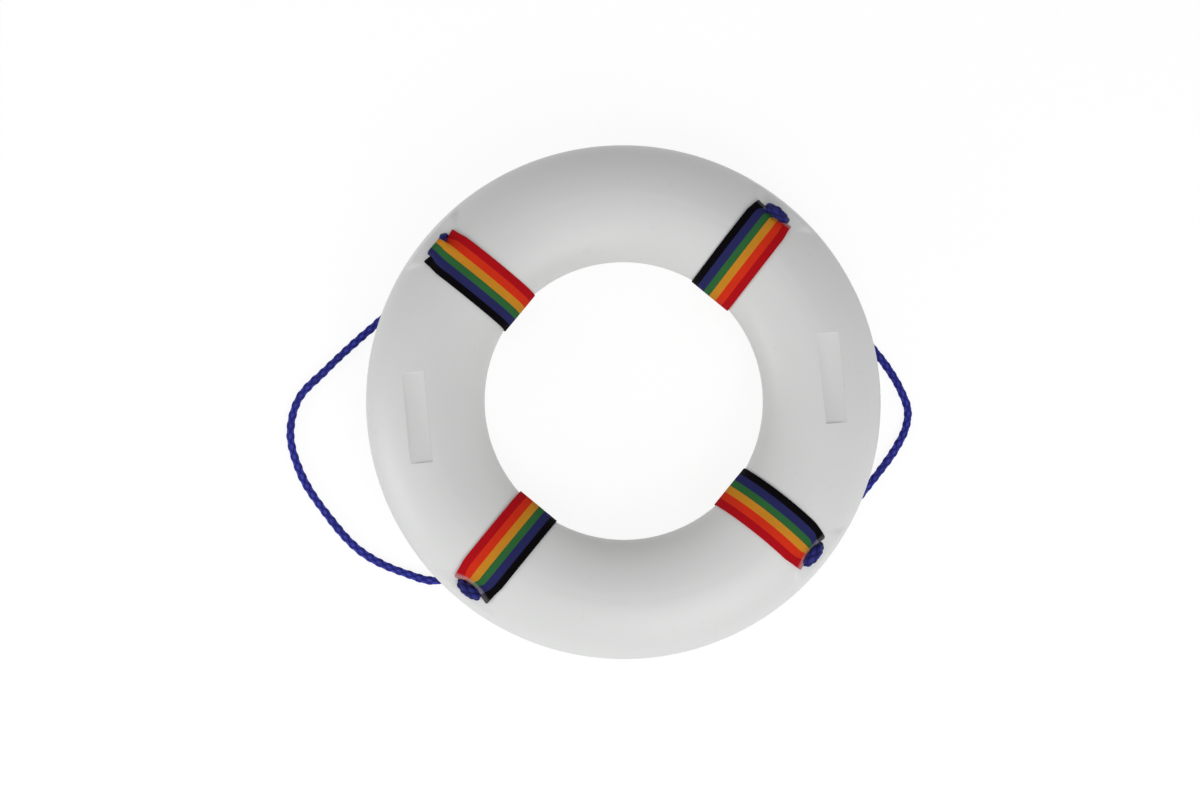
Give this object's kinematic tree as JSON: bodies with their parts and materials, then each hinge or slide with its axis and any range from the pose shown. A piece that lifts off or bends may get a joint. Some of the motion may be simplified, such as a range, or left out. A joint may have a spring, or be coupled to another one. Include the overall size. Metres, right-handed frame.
{
  "type": "life ring",
  "caption": "Foam-filled white plastic ring buoy with rainbow webbing straps round its body and blue braided grab ropes knotted through its rim.",
  "frame": {"origin": "on the ring's axis, at the level of the straps' undersides, on which the ring lies", "axes": "+Z along the ring's axis out of its front face, +X through the right-hand label recess and +Y up as the front face is seen"},
  "size_m": [0.7538, 0.61, 0.1038],
  "materials": {
    "shell": "satin moulded polyethylene, white",
    "foam": "closed-cell polyurethane foam",
    "plug": "satin moulded plastic, off-white",
    "webbing": "woven polypropylene with rainbow stripes",
    "rope": "braided polypropylene, royal blue"
  },
  "bodies": {
    "root": {"front_shell": "shell", "back_shell": "shell", "foam_core": "foam", "foam_fill_plug": "plug", "foam_vent_plug": "plug", "strap_top_left": "webbing", "strap_top_right": "webbing", "strap_bottom_left": "webbing", "strap_bottom_right": "webbing", "knot_top_left": "rope", "knot_top_right": "rope", "knot_bottom_left": "rope", "knot_bottom_right": "rope", "left_grab_rope": "rope", "right_grab_rope": "rope"}
  },
  "joints": []
}
